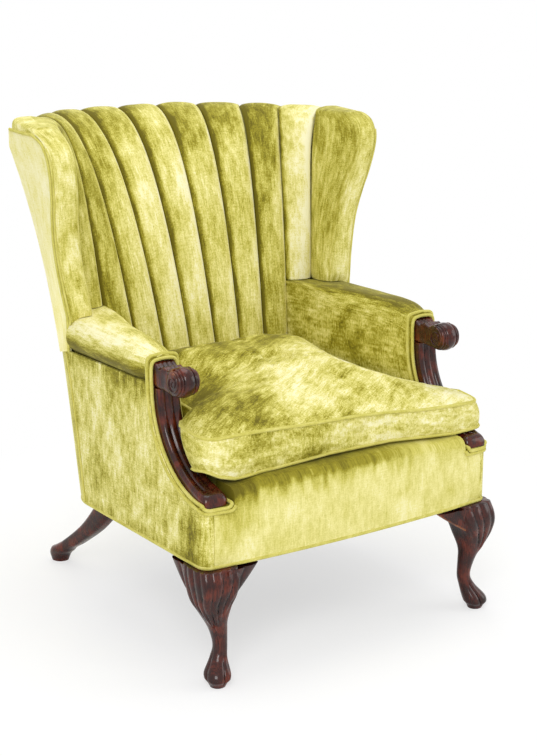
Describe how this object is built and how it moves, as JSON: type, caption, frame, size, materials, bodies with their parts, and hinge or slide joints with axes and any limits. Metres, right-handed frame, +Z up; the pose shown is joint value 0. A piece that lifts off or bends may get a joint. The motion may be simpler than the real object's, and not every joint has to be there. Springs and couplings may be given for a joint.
{
  "type": "wing armchair",
  "caption": "Upholstered wing armchair with a fan of stuffed scalloped channels, rolled arms with carved scroll ends, a loose cushion and carved cabriole legs.",
  "frame": {"origin": "on the floor, under the middle of the chair's overall box", "axes": "+Z up, -Y towards the front of the chair, +X to the right seen from the front"},
  "size_m": [0.8366, 0.8428, 0.9859],
  "materials": {
    "chartreuse_velvet": "crushed silk velvet pile",
    "velvet_welt": "velvet-covered cord",
    "dark_mahogany": "dark glossy polish, worn on edges",
    "frame_beech": "raw hardwood, hidden",
    "jute": "woven jute and hair, hidden",
    "spring_steel": "drawn wire, hidden",
    "black_cambric": "thin black cloth"
  },
  "bodies": {
    "chair": {"back_channel_1": "chartreuse_velvet", "back_channel_2": "chartreuse_velvet", "back_channel_3": "chartreuse_velvet", "back_channel_4": "chartreuse_velvet", "back_channel_5": "chartreuse_velvet", "back_channel_6": "chartreuse_velvet", "back_channel_7": "chartreuse_velvet", "back_channel_8": "chartreuse_velvet", "back_channel_9": "chartreuse_velvet", "front_apron": "chartreuse_velvet", "outside_back": "chartreuse_velvet", "wing_pad_left": "chartreuse_velvet", "wing_pad_right": "chartreuse_velvet", "outer_wing_left": "chartreuse_velvet", "outer_wing_right": "chartreuse_velvet", "arm_pad_left": "chartreuse_velvet", "arm_pad_right": "chartreuse_velvet", "outer_arm_left": "chartreuse_velvet", "outer_arm_right": "chartreuse_velvet", "hem_cord": "velvet_welt", "arm_cord_left": "velvet_welt", "arm_cord_right": "velvet_welt", "front_leg_left": "dark_mahogany", "front_leg_right": "dark_mahogany", "rear_leg_left": "dark_mahogany", "rear_leg_right": "dark_mahogany", "knee_bracket_front_left": "dark_mahogany", "knee_bracket_front_right": "dark_mahogany", "knee_bracket_side_left": "dark_mahogany", "knee_bracket_side_right": "dark_mahogany", "arm_post_left": "dark_mahogany", "arm_post_right": "dark_mahogany", "scroll_knuckle_left": "dark_mahogany", "scroll_knuckle_right": "dark_mahogany", "side_rail_left": "frame_beech", "side_rail_right": "frame_beech", "corner_block_front_left": "frame_beech", "corner_block_front_right": "frame_beech", "corner_block_rear_left": "frame_beech", "corner_block_rear_right": "frame_beech", "back_post_left": "frame_beech", "back_post_right": "frame_beech", "wing_board_left": "frame_beech", "wing_board_right": "frame_beech", "arm_rail_left": "frame_beech", "arm_rail_right": "frame_beech", "front_rail": "frame_beech", "back_rail": "frame_beech", "top_rail": "frame_beech", "seat_deck": "jute", "seat_webbing": "jute", "seat_spring_1": "spring_steel", "seat_spring_2": "spring_steel", "seat_spring_3": "spring_steel", "seat_spring_4": "spring_steel", "dust_cover": "black_cambric"},
    "cushion": {"seat_cushion": "chartreuse_velvet", "cushion_cord_bottom": "velvet_welt", "cushion_cord_top": "velvet_welt"}
  },
  "joints": [
    {"name": "cushion_slide", "type": "slide", "parent": "chair", "child": "cushion", "axis": [0, -1, 0], "range_m": [0, 0.58]}
  ]
}
